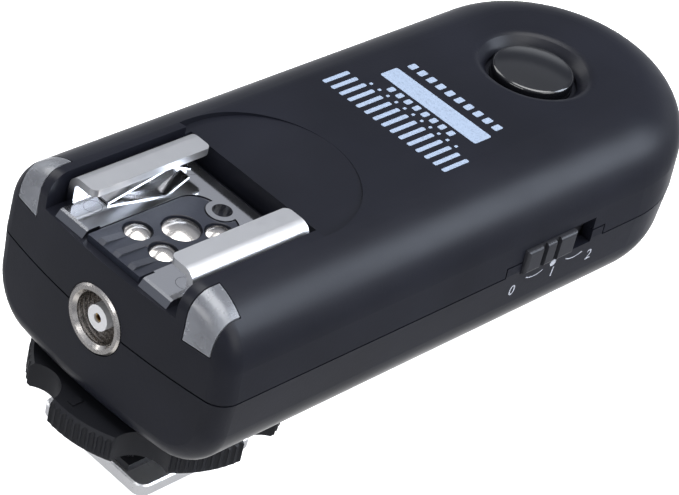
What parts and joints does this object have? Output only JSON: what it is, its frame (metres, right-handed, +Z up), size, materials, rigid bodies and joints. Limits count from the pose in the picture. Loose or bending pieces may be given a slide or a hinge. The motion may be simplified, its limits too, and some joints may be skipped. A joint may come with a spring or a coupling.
{
  "type": "wireless flash trigger",
  "caption": "Battery-powered radio trigger for studio flashes, with a hot shoe on top, a locking shoe foot below, a sync port, a test button and a slide switch.",
  "frame": {"origin": "centre of the foot plate's underside", "axes": "+Z up through the foot and the hot shoe, +Y along the body towards the test button, +X towards the power switch"},
  "size_m": [0.0401, 0.0981, 0.0362],
  "materials": {
    "housing_plastic": "satin fine-grained moulding",
    "blackened_screws": "black oxide",
    "window_plastic": "frosted translucent",
    "button_plastic": "polished",
    "switch_metal": "tinned",
    "part_plastic": "moulded",
    "knob_plastic": "satin",
    "shoe_metal": "bright nickel plate",
    "insert_plastic": "moulded",
    "contact_metal": "polished nickel",
    "spring_steel": "bright",
    "board": "solder mask over glass fibre board",
    "port_metal": "nickel plate",
    "port_insulator": "light grey moulding",
    "brass_contact": "bright",
    "jack_plastic": "moulded",
    "stem_plastic": "glass-filled moulding",
    "steel_screws": "bright zinc",
    "foot_metal": "satin bright",
    "cable": "flat flexible lead",
    "wheel_plastic": "satin",
    "washer_metal": "stamped",
    "chip": "epoxy",
    "capacitor": "can in a dark sleeve",
    "lamp": "clear lens",
    "channel_switch": "moulded",
    "slider_plastic": "moulded",
    "cell_wrap": "printed sleeve on steel can"
  },
  "bodies": {
    "unit": {"upper_housing": "housing_plastic", "lower_housing": "housing_plastic", "housing_screws": "blackened_screws", "status_window_right": "window_plastic", "status_window_left": "window_plastic", "button_switch_body": "switch_metal", "power_switch_body": "switch_metal", "shoe_plate": "shoe_metal", "shoe_insert": "insert_plastic", "shoe_centre_contact": "contact_metal", "shoe_signal_contacts": "contact_metal", "shoe_spring_right": "spring_steel", "shoe_spring_left": "spring_steel", "shoe_rivets": "shoe_metal", "shoe_terminal_board": "board", "pc_port_shell": "port_metal", "pc_port_insulator": "port_insulator", "pc_port_centre_contact": "brass_contact", "pc_port_nut": "port_metal", "release_jack": "jack_plastic", "foot_stem": "stem_plastic", "stem_screws": "steel_screws", "foot_plate": "foot_metal", "foot_screws": "steel_screws", "foot_insulator": "insert_plastic", "foot_pin_springs": "spring_steel", "foot_contact_board": "board", "foot_cable": "cable", "main_board": "board", "radio_module": "switch_metal", "microcontroller": "chip", "crystal": "switch_metal", "capacitors": "capacitor", "opto_coupler": "chip", "antenna": "brass_contact", "status_leds": "lamp", "channel_switch_body": "channel_switch", "battery_cell_left": "cell_wrap", "battery_cell_right": "cell_wrap", "battery_springs": "spring_steel", "battery_bridge_plate": "spring_steel", "battery_terminals": "spring_steel", "terminal_holder": "part_plastic"},
    "battery_door": {"battery_door": "housing_plastic"},
    "test_button": {"test_button": "button_plastic", "button_switch_plunger": "part_plastic"},
    "power_switch": {"power_switch_knob": "knob_plastic", "power_switch_lever": "part_plastic"},
    "clamp_washer": {"clamp_washer": "washer_metal"},
    "locking_wheel": {"locking_wheel": "wheel_plastic"},
    "foot_centre_pin": {"foot_centre_pin": "contact_metal"},
    "foot_signal_pins": {"foot_signal_pins": "contact_metal"},
    "channel_slider_1": {"channel_slider_1": "slider_plastic"},
    "channel_slider_2": {"channel_slider_2": "slider_plastic"},
    "channel_slider_3": {"channel_slider_3": "slider_plastic"},
    "channel_slider_4": {"channel_slider_4": "slider_plastic"}
  },
  "joints": [
    {"name": "door_slide", "type": "slide", "parent": "unit", "child": "battery_door", "axis": [0, 1, 0], "range_m": [0, 0.075]},
    {"name": "button_press", "type": "slide", "parent": "unit", "child": "test_button", "axis": [0, 0, -1], "range_m": [0, 0.0008], "stiffness_N_per_m": 400, "springref_m": -0.001},
    {"name": "power_slide", "type": "slide", "parent": "unit", "child": "power_switch", "axis": [0, 1, 0], "range_m": [0, 0.004]},
    {"name": "clamp_travel", "type": "slide", "parent": "unit", "child": "clamp_washer", "axis": [0, 0, -1], "range_m": [0, 0.0015]},
    {"name": "wheel_turn", "type": "hinge", "parent": "clamp_washer", "child": "locking_wheel", "pos_m": [0, 0, 0.0087], "axis": [0, 0, -1], "range_deg": [0, 360]},
    {"name": "centre_pin_press", "type": "slide", "parent": "unit", "child": "foot_centre_pin", "axis": [0, 0, 1], "range_m": [0, 0.0006], "stiffness_N_per_m": 500, "springref_m": -0.001, "deforming": ["foot_pin_springs"]},
    {"name": "signal_pins_press", "type": "slide", "parent": "unit", "child": "foot_signal_pins", "axis": [0, 0, 1], "range_m": [0, 0.0006], "stiffness_N_per_m": 500, "springref_m": -0.001, "deforming": ["foot_pin_springs"]},
    {"name": "channel_slide_1", "type": "slide", "parent": "unit", "child": "channel_slider_1", "axis": [0, 1, 0], "range_m": [0, 0.0013]},
    {"name": "channel_slide_2", "type": "slide", "parent": "unit", "child": "channel_slider_2", "axis": [0, 1, 0], "range_m": [0, 0.0013]},
    {"name": "channel_slide_3", "type": "slide", "parent": "unit", "child": "channel_slider_3", "axis": [0, 1, 0], "range_m": [0, 0.0013]},
    {"name": "channel_slide_4", "type": "slide", "parent": "unit", "child": "channel_slider_4", "axis": [0, 1, 0], "range_m": [0, 0.0013]}
  ],
  "couplings": [
    {"joint": "wheel_turn", "follows": "clamp_travel", "rad_per_m": 4188.8}
  ]
}
